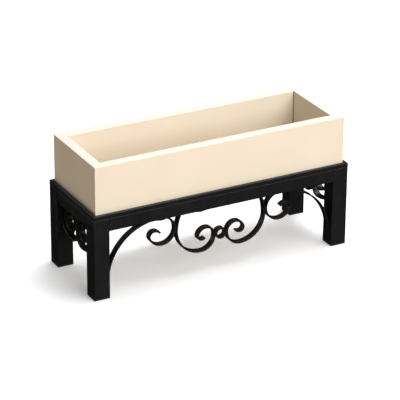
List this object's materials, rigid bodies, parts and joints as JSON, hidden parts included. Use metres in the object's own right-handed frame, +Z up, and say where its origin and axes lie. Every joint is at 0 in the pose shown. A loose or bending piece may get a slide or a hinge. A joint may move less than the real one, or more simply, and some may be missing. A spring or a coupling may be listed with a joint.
{
  "type": "raised planter",
  "caption": "Raised planter: a long open box with mitred walls that lifts out of a welded square-tube stand with scrollwork of bent flat bar under the rails.",
  "frame": {"origin": "centre of the footprint, on the surface that the feet rest on", "axes": "+X along the length, -Y is the front face, +Z up"},
  "size_m": [0.94, 0.332, 0.4603],
  "materials": {
    "frame_paint": "satin black powder coat",
    "foot_plastic": "matte black moulded plastic",
    "box_paint": "smooth cream paint on board",
    "bare_timber": "bare softwood",
    "screw_steel": "zinc plated"
  },
  "bodies": {
    "stand": {"leg_front_left": "frame_paint", "leg_front_right": "frame_paint", "leg_back_left": "frame_paint", "leg_back_right": "frame_paint", "foot_plug_front_left": "foot_plastic", "foot_plug_front_right": "foot_plastic", "foot_plug_back_left": "foot_plastic", "foot_plug_back_right": "foot_plastic", "leg_cap_front_left": "frame_paint", "leg_cap_front_right": "frame_paint", "leg_cap_back_left": "frame_paint", "leg_cap_back_right": "frame_paint", "rail_front": "frame_paint", "rail_back": "frame_paint", "rail_left": "frame_paint", "rail_right": "frame_paint", "lip_front": "frame_paint", "lip_back": "frame_paint", "lip_left": "frame_paint", "lip_right": "frame_paint", "cross_bar_left": "frame_paint", "cross_bar_right": "frame_paint", "bracket_front_left": "frame_paint", "bracket_front_right": "frame_paint", "bracket_back_left": "frame_paint", "bracket_back_right": "frame_paint", "scroll_front_left": "frame_paint", "scroll_front_right": "frame_paint", "scroll_back_left": "frame_paint", "scroll_back_right": "frame_paint", "end_scroll_left_front": "frame_paint", "end_scroll_left_back": "frame_paint", "end_scroll_right_front": "frame_paint", "end_scroll_right_back": "frame_paint", "ring_front": "frame_paint", "ring_back": "frame_paint"},
    "planter_box": {"wall_front": "box_paint", "wall_back": "box_paint", "wall_left": "box_paint", "wall_right": "box_paint", "box_floor": "box_paint", "cleat_front": "bare_timber", "cleat_back": "bare_timber", "cleat_screws": "screw_steel"}
  },
  "joints": [
    {"name": "box_lift", "type": "slide", "parent": "stand", "child": "planter_box", "axis": [0, 0, 1], "range_m": [0, 0.2]}
  ]
}
